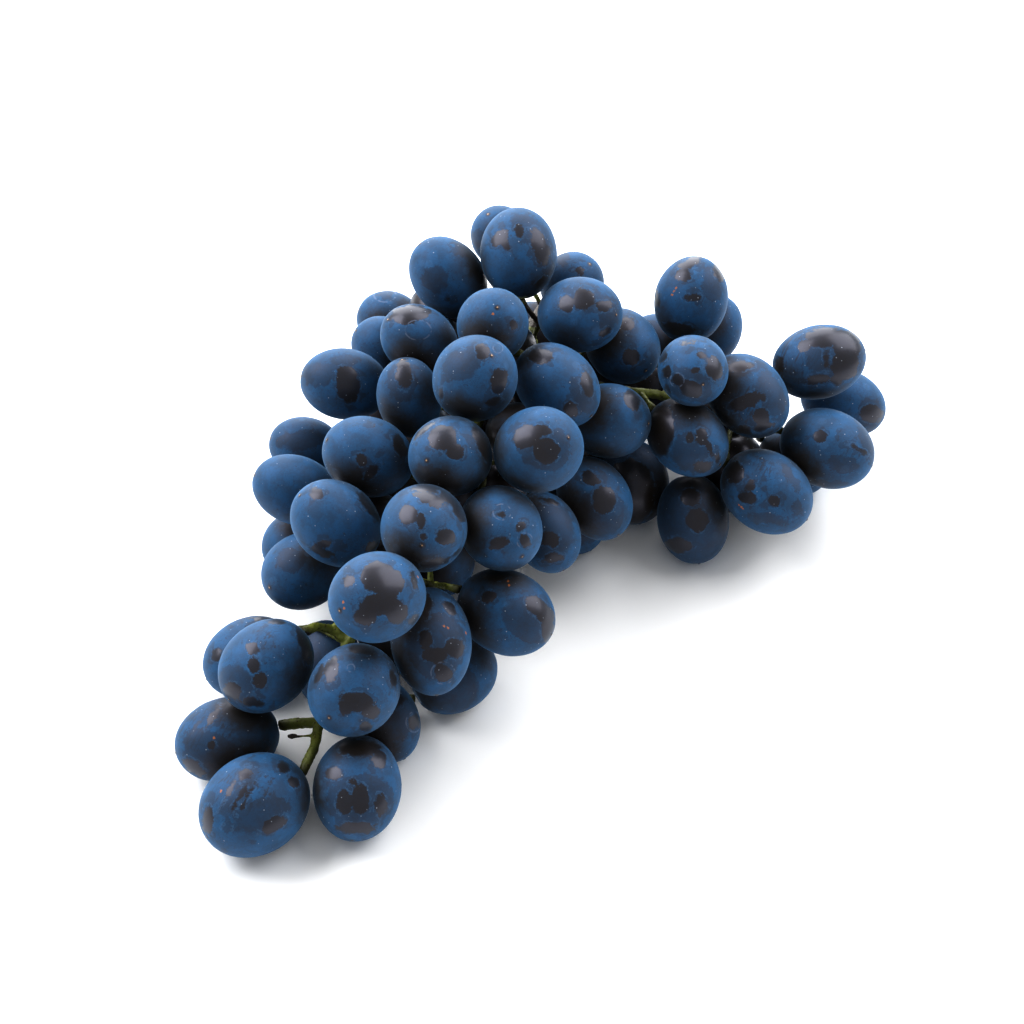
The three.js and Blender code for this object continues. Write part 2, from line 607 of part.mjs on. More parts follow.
// The origin is on the surface, under the middle of the bunch's box.
const box = new THREE.Box3().setFromObject(bunch);
const middle = box.getCenter(new THREE.Vector3());
bunch.position.set(-middle.x, -middle.y, -box.min.z);

export default bunch;
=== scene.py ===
"""Looks for a bunch of dark blue table grapes: bloomed skins, scars, rubbed patches and a green stem."""

import math

import bmesh
import bpy
import numpy as np
from bpy.props import FloatProperty, FloatVectorProperty, IntProperty, PointerProperty
from mathutils import Matrix, Vector


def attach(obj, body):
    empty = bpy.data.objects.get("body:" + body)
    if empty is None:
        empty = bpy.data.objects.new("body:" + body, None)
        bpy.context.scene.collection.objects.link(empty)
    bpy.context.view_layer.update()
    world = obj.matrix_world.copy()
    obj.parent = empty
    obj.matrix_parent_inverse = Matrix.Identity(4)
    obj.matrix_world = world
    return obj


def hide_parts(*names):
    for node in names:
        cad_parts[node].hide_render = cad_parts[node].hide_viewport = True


bl_info = {
    "name": "Grape bunch looks",
    "version": (1, 0, 0),
    "blender": (4, 5, 0),
    "location": "View3D > Sidebar > Grapes",
    "description": "Models the grapes' skins and stems around their packed solids",
    "category": "Object",
}

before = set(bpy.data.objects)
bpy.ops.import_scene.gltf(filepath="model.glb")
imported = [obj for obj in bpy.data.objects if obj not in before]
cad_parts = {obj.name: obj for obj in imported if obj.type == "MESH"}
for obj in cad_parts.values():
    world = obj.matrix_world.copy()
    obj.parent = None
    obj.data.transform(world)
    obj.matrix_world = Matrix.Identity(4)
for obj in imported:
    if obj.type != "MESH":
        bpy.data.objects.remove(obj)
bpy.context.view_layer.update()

BODY = "root"
MM = 0.001

# The photograph's view: a square picture whose middle looks at this point of the surface.
PICTURE_SIZE = 1024
FOCAL_LENGTH = 2050
SENSOR_WIDTH = 36
VIEW_TARGET = Vector((-11.48, 15.74, 0)) * MM
VIEW_ELEVATION = math.radians(46)
VIEW_DISTANCE = 570 * MM
VIEW_AHEAD = Vector((0, math.cos(VIEW_ELEVATION), -math.sin(VIEW_ELEVATION)))
VIEW_RIGHT = Vector((1, 0, 0))
VIEW_UP = VIEW_RIGHT.cross(VIEW_AHEAD)
EYE = VIEW_TARGET - VIEW_AHEAD * VIEW_DISTANCE
PIXELS_PER_MM = FOCAL_LENGTH * MM / VIEW_DISTANCE

# Reading the berries out of the CAD nodes
SAME_POINT = 1e-7
CREASE = 0.03
ON_SURFACE = 1e-5

# Where the bloom is rubbed off, for each berry by its number: the patch's middle in the picture, its two
# half-widths in pixels and the first one's turn in degrees up from the right. Berry 33's patch bares a berry
# that lies in shade, as painted shade.
RUBS_AND_SHADE = {
    2: [(500, 238, 11, 7, 40), (506, 246, 6, 4, -45), (520, 231, 5, 7, 0), (540, 247, 8, 20, 20),
        (544, 287, 8, 10, 0)],
    3: [(447, 298, 3, 3, 0)],
    4: [(580, 271, 5, 4, 0)],
    7: [(409, 314, 21, 9, 8)],
    8: [(513, 325, 4, 5, 0)],
    9: [(566, 303, 8, 9, 0), (584, 299, 11, 11, 0), (604, 306, 9, 6, 0), (604, 333, 7, 4, 30)],
    10: [(631, 357, 9, 8, 0), (627, 324, 7, 8, 0)],
    12: [(348, 384, 12, 19, 10)],
    13: [(404, 374, 8, 15, 0)],
    14: [(499, 381, 8, 13, -15), (493, 402, 7, 4, 20), (483, 351, 7, 8, 0), (441, 395, 2, 5, 0)],
    15: [(571, 409, 7, 8, 0), (587, 384, 6, 13, 10), (541, 356, 12, 8, 0)],
    16: [(632, 400, 8, 11, 30)],
    18: [(362, 460, 6, 6, 0), (372, 472, 10, 5, 50), (400, 446, 6, 13, 25), (373, 426, 2, 1.5, 0)],
    19: [(443, 438, 15, 13, 0), (455, 451, 9, 8, -20), (482, 441, 7, 18, 22), (424, 430, 13, 3, 40)],
    20: [(526, 437, 14, 12, 20), (546, 451, 14, 13, 0), (542, 430, 10, 5, -10)],
    21: [(604, 500, 12, 14, 0), (590, 478, 10, 6, -30)],
    23: [(370, 506, 6, 18, 38), (325, 544, 8, 4, 0), (321, 552, 13, 4, -15), (371, 546, 8, 4, 30),
         (316, 493, 7, 6, 0)],
    24: [(408, 515, 9, 10, 0), (421, 522, 5, 7, 0), (428, 489, 18, 5, -4), (449, 496, 11, 7, -40),
         (459, 509, 6, 15, 30), (431, 499, 17, 6, -22), (446, 537, 10, 8, 0), (438, 562, 13, 4, 14),
         (459, 552, 6, 3, 45), (424, 537, 3, 3, 0)],
    25: [(499, 543, 11, 6, 20), (521, 527, 6, 5, 0), (501, 514, 5, 3, 0), (525, 541, 6, 6, 0)],
    26: [(549, 539, 11, 8, 0), (547, 500, 10, 3, -20), (553, 558, 10, 5, 10)],
    29: [(378, 577, 17, 16, 0), (391, 583, 13, 14, 0), (349, 581, 5, 7, 0), (381, 605, 22, 11, 0),
         (366, 617, 12, 9, 0), (414, 581, 3, 9, 20), (413, 620, 8, 4, 35), (396, 612, 12, 12, 0)],
    30: [(426, 606, 6, 12, 0), (451, 609, 9, 5, -50), (426, 639, 6, 10, 0), (455, 648, 10, 10, 0),
         (436, 655, 14, 8, 0), (443, 673, 9, 9, 0)],
    31: [(496, 575, 13, 6, 0), (489, 597, 7, 7, 0), (541, 611, 18, 9, -45), (550, 634, 8, 16, 20)],
    32: [(590, 520, 14, 12, 0)],
    # Painted shade: this patch bares most of a berry that lies in shade.
    33: [(630, 492, 24, 34, 0)],
    35: [(414, 722, 6, 8, 0), (392, 700, 14, 8, 0)],
    36: [(332, 670, 7, 12, -14), (364, 649, 15, 5, -8), (393, 678, 3, 11, 12), (358, 702, 17, 9, -8),
         (346, 706, 7, 8, 0), (371, 712, 9, 8, 0), (319, 674, 3, 8, -20), (366, 726, 6, 5, 0)],
    37: [(254, 666, 6, 9, 0), (260, 681, 7, 9, 0), (253, 648, 7, 6, 0), (277, 621, 8, 3, -5),
         (304, 640, 6, 22, 12), (252, 702, 12, 5, -10), (233, 690, 10, 8, -40)],
    38: [(217, 655, 5, 7, 0), (266, 618, 14, 3, 5)],
    40: [(213, 717, 3, 10, -32), (194, 767, 14, 6, -35), (212, 746, 4, 4, 0)],
    41: [(240, 796, 2, 19, -30), (232, 787, 2, 15, -34), (246, 800, 1.5, 16, -28), (284, 767, 7, 5, -20),
         (294, 782, 6, 5, 0), (274, 824, 16, 7, 32), (208, 821, 6, 14, 0), (244, 775, 5, 9, -32)],
    42: [(360, 748, 21, 8, 0), (334, 773, 9, 7, 0), (379, 759, 7, 10, 15), (353, 781, 4, 4, 0),
         (361, 799, 9, 15, 0), (344, 802, 8, 12, 0), (381, 805, 7, 11, 0), (358, 828, 20, 6, 0)],
    43: [(690, 263, 12, 5, 18), (683, 275, 8, 7, 0), (657, 301, 3, 9, 0), (692, 297, 8, 4, 0),
         (678, 329, 18, 6, -8), (719, 273, 5, 10, 20)],
    45: [(661, 356, 6, 7, 0), (667, 373, 5, 6, 0), (677, 380, 6, 6, 0), (691, 389, 12, 9, -20),
         (714, 368, 8, 12, 15), (688, 343, 7, 2, 10), (701, 355, 5, 3, -20), (695, 370, 4, 3, 0),
         (667, 392, 3, 8, 10)],
    46: [(740, 366, 13, 5, 10), (748, 401, 20, 7, 22), (761, 417, 9, 9, 0), (744, 430, 9, 4, -10),
         (763, 427, 11, 4, 20)],
    47: [(662, 430, 12, 26, 0), (690, 438, 4, 5, 0), (702, 437, 6, 8, 20), (710, 449, 3, 7, 20),
         (718, 457, 2, 4, 0), (703, 466, 9, 6, 10)],
    48: [(690, 498, 10, 9, 0), (697, 520, 12, 12, 0), (678, 545, 14, 8, 0)],
    49: [(735, 473, 9, 11, 0), (750, 486, 8, 5, 30), (748, 498, 9, 6, -15), (774, 501, 6, 6, 0)],
    50: [(820, 436, 7, 6, 0), (858, 449, 9, 2.5, -35)],
    51: [(827, 337, 21, 10, 4), (847, 346, 14, 15, 0), (845, 365, 14, 15, 0), (804, 346, 7, 6, 0),
         (779, 364, 5, 9, 0), (817, 379, 12, 5, 12), (837, 380, 7, 6, 0), (826, 360, 3, 9, 0)],
    52: [(871, 414, 12, 9, 0)],
}
# Where the bloom is only thinner, in the same way. Patches as large as a whole berry, such as those of 11,
# 33, 34, 35, 39 and 48, darken berries that lie in shade: painted shade.
THIN_AND_SHADE = {
    1: [(478, 238, 7, 9, 0)],
    2: [(530, 230, 22, 13, -38), (542, 252, 11, 18, 15)],
    3: [(435, 279, 14, 13, 0), (463, 250, 14, 6, -10)],
    4: [(563, 258, 7, 7, 0)],
    5: [(385, 295, 9, 5, 0)],
    9: [(588, 300, 28, 12, -15), (609, 318, 9, 17, -20)],
    11: [(649, 351, 30, 30, 0)],
    12: [(318, 374, 15, 13, 0), (343, 362, 15, 8, 0)],
    13: [(402, 382, 15, 21, 0)],
    14: [(462, 364, 22, 15, 35)],
    15: [(584, 395, 12, 21, 25)],
    17: [(300, 440, 24, 10, 10)],
    19: [(438, 478, 24, 9, -25)],
    20: [(544, 448, 27, 22, -20)],
    21: [(602, 512, 24, 24, 0)],
    26: [(548, 530, 26, 30, 0)],
    27: [(290, 560, 16, 12, 0)],
    30: [(436, 645, 30, 34, 0)],
    31: [(530, 620, 30, 22, -25)],
    32: [(580, 515, 30, 30, 0)],
    33: [(634, 483, 40, 40, 0)],
    34: [(452, 688, 26, 26, 0)],
    35: [(390, 712, 30, 30, 0)],
    37: [(236, 684, 20, 18, -40)],
    39: [(325, 664, 40, 40, 0)],
    40: [(214, 752, 36, 18, -30)],
    41: [(240, 790, 12, 30, -30), (262, 815, 30, 16, 20)],
    42: [(360, 800, 34, 26, 0)],
    43: [(712, 285, 10, 18, 10)],
    45: [(690, 385, 24, 16, -20)],
    46: [(745, 368, 16, 7, 10), (771, 395, 13, 24, 20)],
    47: [(690, 452, 19, 20, 0)],
    48: [(690, 520, 40, 48, 0)],
    49: [(798, 508, 6, 9, 20), (768, 519, 22, 6, -5), (791, 478, 5, 16, 30)],
    50: [(842, 464, 17, 10, -5), (868, 440, 8, 26, 20), (830, 485, 20, 4, 0)],
    51: [(835, 355, 30, 26, 0)],
    52: [(870, 414, 14, 17, 0)],
    53: [(793, 462, 30, 30, 0)],
}
# Where the bloom is scraped into streaks, in the same way.
SCRAPES = {
    23: [(324, 545, 14, 9, -10)],
    37: [(262, 640, 18, 12, 0)],
    40: [(206, 732, 30, 26, -20)],
    41: [(245, 790, 36, 26, 25)],
    46: [(752, 405, 24, 22, 0)],
    49: [(764, 466, 18, 10, -30)],
    50: [(852, 452, 14, 9, 0)],
    51: [(800, 355, 24, 22, 10)],
}
# Rings that water drops left in the bloom, in the same way.
RINGS = {
    5: [(385, 295, 11, 7, 0)],
    7: [(418, 330, 13, 10, 0)],
    14: [(498, 348, 5, 5, 0)],
    25: [(502, 512, 9, 8, 0), (525, 541, 8, 8, 0)],
    30: [(443, 673, 12, 11, 0)],
    35: [(414, 722, 8, 10, 0)],
    36: [(351, 668, 4, 4, 0)],
    45: [(677, 380, 7, 7, 0)],
}
# Rust-coloured flecks, as dots of the picture for each berry by its number.
FLECKS = {
    8: [(493, 314)],
    29: [(343, 602), (344, 608), (418, 577)],
    30: [(444, 626), (448, 628), (466, 633)],
    31: [(508, 581), (509, 585)],
    40: [(214, 738)],
    41: [(221, 791)],
    43: [(672, 295), (674, 291), (676, 288)],
    49: [(739, 505), (741, 507), (743, 509)],
}
# The stem's shrivelled berry and brown twigs, as patches of the picture like the ones above. The first twig
# patch darkens a twig that lies in shade between berries: painted shade.
DRIED_BERRY = [(291, 736, 9, 4, 0)]
BROWN_AND_SHADED_TWIGS = [(534, 314, 13, 13, 0), (306, 640, 8, 8, 0)]

SEEN_BERRIES = 53
# Which way the scrapes run, up from the right of the picture
SCRAPE_TURN = math.radians(62)
# Distances past which a mark counts as absent, and a berry as no neighbour
FAR_OFF = 8 * MM
NEAR_BERRY = 40 * MM
# The same for the rust flecks, in millimetres
FLECK_FAR_OFF = 9.0

# Skin starts to count as hidden from the photograph where the cosine of its slant to the sight line is
# SLANT, and is wholly hidden where that is less by SLANT_FADE.
SLANT = 0.1
SLANT_FADE = 0.35
# Millimetres taken off an unseen berry's distance to its neighbours, which thins and darkens its bloom as
# painted shade; the second amount is added on the side in view
UNSEEN_SHADE = 3
UNSEEN_SHADE_IN_VIEW = 3
# Noise above this level rubs the bloom off. The side in view is spared, as its patches are listed.
WORN_LEVEL = 0.61
UNSEEN_WORN_LEVEL = 0.59
IN_VIEW_SPARED = 0.2
MM_PER_LEVEL = 26.0

# Loops cut round the style scar, and the edge of its nub, as shares of the scar's half-width
SCAR_LOOPS = (0.5, 1.0, 1.6)
NUB_EDGE = 1.1
# A height beyond both ends of the pattern berry, whose radius is 1
PAST_THE_END = 2

# Colours of small marks
DROP_WAX = (0.07, 0.19, 0.36, 1)
RING_WAX = (0.15, 0.18, 0.25, 1)
LIP_WAX = (0.06, 0.16, 0.30, 1)
PALE_SPECK = (0.32, 0.36, 0.42, 1)
BROWN_SPECK = (0.10, 0.05, 0.03, 1)
SCAR_CORK = (0.5, 0.3, 0.14, 1)
OLD_GREEN = (0.10, 0.12, 0.016, 1)
# Painted shade on the stem where it runs close to berries
SHADED_BARK = (0.025, 0.022, 0.008, 1)
# Dried bark, also used as painted shade on one twig
DRIED_AND_SHADED_BARK = (0.03, 0.02, 0.012, 1)

# Each light's way from the bunch, its distance and its width in metres; its power is a stage setting.
LIGHTS = {
    "key": ((-0.70, 0.25, 0.675), 0.95, 0.72),
    "fill": ((0.62, 0.4, 0.68), 1.05, 1.0),
    "back": ((-0.15, 0.9, 0.4), 1.3, 1.2),
}
LIT_POINT = Vector((0, 0, 0.03))
WHITE = (1, 1, 1, 1)
CLIP_END = 20


class BerrySizes(bpy.types.PropertyGroup):
    """Shape and colours of the berries"""

    segments: IntProperty(name="Segments", description="Faces round a berry", default=96, min=24)
    rings: IntProperty(name="Rings", description="Faces from end to end", default=52, min=16)
    lump: FloatProperty(name="Lumps", description="Height of the skin's gentle unevenness",
                        default=0.22 * MM, subtype="DISTANCE", unit="LENGTH")
    lump_size: FloatProperty(name="Lump size", description="Distance between the lumps",
                             default=9 * MM, subtype="DISTANCE", unit="LENGTH")
    scar: FloatProperty(name="Style scar", description="Half-width of the nub at the blossom end, as a share",
                        default=0.035)
    nub: FloatProperty(name="Nub", description="Height of the style scar's nub, as a share", default=0.012)
    dimple: FloatProperty(name="Stem dimple", description="Depth of the dent at the stem end, as a share",
                          default=0.035)
    dimple_floor: FloatProperty(name="Dimple floor", description="Half-width of the dent's floor, as a share",
                                default=0.06)
    dimple_reach: FloatProperty(name="Dimple reach", description="Half-width of the whole dent, as a share",
                                default=0.34)
    bloom: FloatVectorProperty(name="Bloom", description="Colour of the thick waxy bloom", subtype="COLOR",
                               default=(0.019, 0.090, 0.192), size=3)
    # The thin bloom colour also serves as painted shade near neighbouring berries.
    thin_bloom_and_shade: FloatVectorProperty(name="Thin bloom", description="Colour where the bloom is thin",
                                    subtype="COLOR", default=(0.027, 0.030, 0.032), size=3)
    skin: FloatVectorProperty(name="Skin", description="Colour of the bare skin", subtype="COLOR",
                              default=(0.021, 0.015, 0.009), size=3)
    rust: FloatVectorProperty(name="Rust", description="Colour of scars and flecks", subtype="COLOR",
                              default=(0.40, 0.14, 0.035), size=3)


class StemSizes(bpy.types.PropertyGroup):
    """Shape and colours of the stem"""

    grain: FloatProperty(name="Grain", description="Edge of the cells that the stem is remeshed with",
                         default=0.4 * MM, subtype="DISTANCE", unit="LENGTH")
    swell: FloatProperty(name="Swell", description="How far the rounded twigs are filled out again",
                         default=0.12 * MM, subtype="DISTANCE", unit="LENGTH")
    wart: FloatProperty(name="Warts", description="Height of the bark's warts",
                        default=0.5 * MM, subtype="DISTANCE", unit="LENGTH")
    wart_size: FloatProperty(name="Wart size", description="Distance between the warts",
                             default=1.1 * MM, subtype="DISTANCE", unit="LENGTH")
    green: FloatVectorProperty(name="Green", description="Colour of the stem", subtype="COLOR",
                               default=(0.17, 0.19, 0.025), size=3)
    brown: FloatVectorProperty(name="Brown", description="Colour of its cork", subtype="COLOR",
                               default=(0.05, 0.026, 0.010), size=3)


class StageSizes(bpy.types.PropertyGroup):
    """Floor and light"""

    floor: FloatProperty(name="Floor", description="Width of the floor", default=6, unit="LENGTH")
    key: FloatProperty(name="Key light", description="Power of the large light at the left", default=12)
    fill: FloatProperty(name="Fill light", description="Power of the light at the right", default=15)
    back: FloatProperty(name="Back light", description="Power of the light wall at the back", default=21)
    world: FloatProperty(name="Sky", description="Strength of the light from all round", default=0.68)
    contrast: FloatProperty(name="Picture gamma", description="Below 1 for the photograph's deep darks",
                            default=0.76)


class Graph:
    """Adds nodes to a node tree, each with its inputs wired or set."""

    def __init__(self, tree):
        self.tree = tree

    def add(self, kind, inputs=None, **settings):
        node = self.tree.nodes.new(kind)
        for name, value in settings.items():
            setattr(node, name, value)
        for name, value in (inputs or {}).items():
            socket = node.inputs[name]
            if isinstance(value, bpy.types.NodeSocket):
                self.tree.links.new(value, socket)
            else:
                socket.default_value = value
        return node

    def math(self, operation, first, second=0.0, clamp=False):
        node = self.add("ShaderNodeMath", {0: first, 1: second}, operation=operation, use_clamp=clamp)
        return node.outputs[0]

    def ramp(self, value, low, high, start=0.0, end=1.0):
        """Brings value from low..high to start..end, smoothly and clamped."""
        return self.add("ShaderNodeMapRange", {
            "Value": value, "From Min": low, "From Max": high, "To Min": start, "To Max": end,
        }, interpolation_type="SMOOTHSTEP").outputs[0]

    def blend(self, share, first, second):
        """Goes from the first colour to the second with share."""
        inputs = {0: share, 6: first, 7: second}
        return self.add("ShaderNodeMix", inputs, data_type="RGBA").outputs[2]

    def noise(self, place, scale, detail=4.0, roughness=0.55, distortion=0.0):
        return self.add("ShaderNodeTexNoise", {
            "Vector": place, "Scale": scale, "Detail": detail, "Roughness": roughness,
            "Distortion": distortion,
        }).outputs["Fac"]

    def stretch(self, place, turn, along, across):
        """Place scaled along one fixed way of the part, which has this turn in the picture, and across it."""
        first = VIEW_RIGHT * math.cos(turn) + VIEW_UP * math.sin(turn)
        second = VIEW_UP * math.cos(turn) - VIEW_RIGHT * math.sin(turn)
        parts = {}
        for name, way in (("X", first * along), ("Y", second * across), ("Z", VIEW_AHEAD * across)):
            dot = self.add("ShaderNodeVectorMath", {0: place, 1: way}, operation="DOT_PRODUCT")
            parts[name] = dot.outputs[1]
        return self.add("ShaderNodeCombineXYZ", parts).outputs[0]

    def attribute(self, name):
        return self.add("ShaderNodeAttribute", attribute_name=name).outputs["Fac"]

    def place(self):
        """Object coordinates in millimetres."""
        place = self.add("ShaderNodeTexCoord").outputs["Object"]
        return self.add("ShaderNodeVectorMath", {0: place, "Scale": 1 / MM}, operation="SCALE").outputs[0]


def colour(values):
    return (*values, 1)


def new_group(name, inputs, outputs):
    """A shader node group with these sockets, and the graph and end nodes to fill it with."""
    group = bpy.data.node_groups.new(name, "ShaderNodeTree")
    for direction, sockets in (("INPUT", inputs), ("OUTPUT", outputs)):
        for socket, kind in sockets:
            group.interface.new_socket(name=socket, in_out=direction, socket_type=kind)
    start = group.nodes.new("NodeGroupInput").outputs
    end = group.nodes.new("NodeGroupOutput")
    return group, Graph(group), start, end


def specks_group():
    """Dots strewn over a surface: a mask of dots up to Size in radius, one in each cell of Spacing."""
    numbers = [(name, "NodeSocketFloat") for name in ("Spacing", "Size", "Soft")]
    group, graph, start, end = new_group(
        "specks", [("Place", "NodeSocketVector"), *numbers], [("Mask", "NodeSocketFloat")])
    cells = graph.add("ShaderNodeTexVoronoi", {
        "Vector": start["Place"], "Scale": graph.math("DIVIDE", 1.0, start["Spacing"])})
    far = graph.math("MULTIPLY", cells.outputs["Distance"], start["Spacing"])
    pick = graph.add("ShaderNodeSeparateColor", {"Color": cells.outputs["Color"]}).outputs[0]
    size = graph.math("MULTIPLY", start["Size"], pick)
    off = graph.math("DIVIDE", graph.math("SUBTRACT", far, size), start["Soft"])
    mask = graph.ramp(off, -1.0, 1.0, 1.0, 0.0)
    graph.tree.links.new(mask, end.inputs["Mask"])
    return group


def mottle_group():
    """Cloudy variation at two scales, about 0 to 1."""
    group, graph, start, end = new_group(
        "mottle", [("Place", "NodeSocketVector"), ("Coarse", "NodeSocketFloat"), ("Fine", "NodeSocketFloat")],
        [("Share", "NodeSocketFloat")])
    coarse = graph.noise(start["Place"], start["Coarse"], detail=5, distortion=0.4)
    fine = graph.noise(start["Place"], start["Fine"], detail=3, roughness=0.7)
    both = graph.math("ADD", graph.math("MULTIPLY", coarse, 0.65), graph.math("MULTIPLY", fine, 0.35))
    graph.tree.links.new(graph.ramp(both, 0.36, 0.64), end.inputs["Share"])
    return group


def use_group(graph, group, inputs, output):
    return graph.add("ShaderNodeGroup", inputs, node_tree=group).outputs[output]


def shared_group(name, make):
    return bpy.data.node_groups.get(name) or make()


def new_material(name):
    material = bpy.data.materials.new(name)
    material.use_nodes = True
    graph = Graph(material.node_tree)
    shader = next(node for node in graph.tree.nodes if node.type == "BSDF_PRINCIPLED")
    return material, graph, shader


def rubbed_and_shaded_bloom(graph, place, hand, shift, crisp):
    """How far the bloom is off in patches, in the film round them and in places that are only thinner; these
    places include whole berries darkened as painted shade.
    """
    fuzz = graph.ramp(graph.noise(place, 0.2, detail=3), 0.42, 0.68, 0.06, 0.5)
    # Like the listed patches, wild ones count millimetres from their edge, less than 0 inside.
    cloud = graph.noise(place, 0.14, detail=2, roughness=0.5, distortion=0.5)
    wild = graph.math("MULTIPLY", graph.math("SUBTRACT", graph.attribute("worn"), cloud), MM_PER_LEVEL)
    wild = graph.math("ADD", wild, shift)
    edge = graph.math("MINIMUM", hand, wild)
    rubbed = graph.ramp(graph.math("DIVIDE", edge, fuzz), -1.0, 1.0, 0.92, 0.0)
    # A film of wax is left in a rim round most patches.
    wide = graph.math("SUBTRACT", edge, graph.ramp(graph.noise(place, 0.3, detail=1), 0.45, 0.68, 0.0, 2.0))
    smeared = graph.ramp(graph.math("ADD", wide, graph.math("MULTIPLY", crisp, 1.2)), -0.15, 0.15, 0.4, 0.0)
    rubbed = graph.math("MAXIMUM", rubbed, smeared)
    # Larger places keep a thin film too; over whole berries that lie in shade this film is painted shade.
    film = graph.math("ADD", graph.attribute("thin"), graph.math("MULTIPLY", shift, 1.5))
    film = graph.ramp(graph.math("DIVIDE", film, fuzz), -1.5, 1.5, 0.48, 0.0)
    return graph.math("MAXIMUM", rubbed, film)


def scraped_streaks(graph, place, shift):
    """Streaks where a neighbour or a finger slid over the bloom."""
    streak = graph.noise(graph.stretch(place, SCRAPE_TURN, 0.07, 1.1), 1.0, detail=3, roughness=0.6)
    reach = graph.math("ADD", graph.attribute("scraped"), graph.math("MULTIPLY", shift, 1.5))
    streak = graph.ramp(streak, 0.5, 0.62, 0.0, 0.6)
    return graph.math("MULTIPLY", streak, graph.ramp(reach, -1.5, 0.5, 1.0, 0.0))


def fine_scratches(graph, place, crisp):
    """Thin winding scratches, in some places only."""
    scratch = graph.noise(place, 0.5, detail=2, distortion=1.2)
    scratch = graph.math("ABSOLUTE", graph.math("SUBTRACT", scratch, 0.5))
    scratch = graph.ramp(scratch, 0.006, 0.02, 1.0, 0.0)
    scratch = graph.math("MULTIPLY", scratch, graph.ramp(graph.noise(place, 0.17), 0.5, 0.58))
    return graph.math("MULTIPLY", scratch, graph.ramp(crisp, -0.1, 0.08))


def rust_flecks(graph, place, spots, crisp):
    """Ragged dots at these places."""
    far = FLECK_FAR_OFF
    for spot in spots:
        reach = graph.add("ShaderNodeVectorMath", {0: place, 1: spot}, operation="DISTANCE").outputs["Value"]
        far = graph.math("MINIMUM", far, reach)
    far = graph.math("ADD", far, graph.math("MULTIPLY", crisp, 1.3))
    return graph.ramp(far, 0.2, 0.42, 0.85, 0.0)


def finish_skin(graph, shader, covered, crisp, height):
    """Wax is rough and bare skin glossy, both with a faint blue sheen."""
    rough = graph.ramp(covered, 0.0, 0.7, 0.36, 0.62)
    rough = graph.math("ADD", rough, graph.math("MULTIPLY", crisp, 0.12), clamp=True)
    graph.tree.links.new(rough, shader.inputs["Roughness"])
    graph.tree.links.new(graph.ramp(covered, 0.05, 0.5, 0.22, 0.0), shader.inputs["Coat Weight"])
    bump = graph.add("ShaderNodeBump", {"Strength": 0.22, "Distance": 0.06 * MM, "Height": height})
    graph.tree.links.new(bump.outputs["Normal"], shader.inputs["Normal"])
    shader.inputs["Coat Roughness"].default_value = 0.16
    shader.inputs["Specular IOR Level"].default_value = 0.48
    shader.inputs["Specular Tint"].default_value = (0.72, 0.74, 1, 1)
    shader.inputs["Sheen Weight"].default_value = 0.22
    shader.inputs["Sheen Roughness"].default_value = 0.38
    shader.inputs["Sheen Tint"].default_value = (0.22, 0.56, 1, 1)


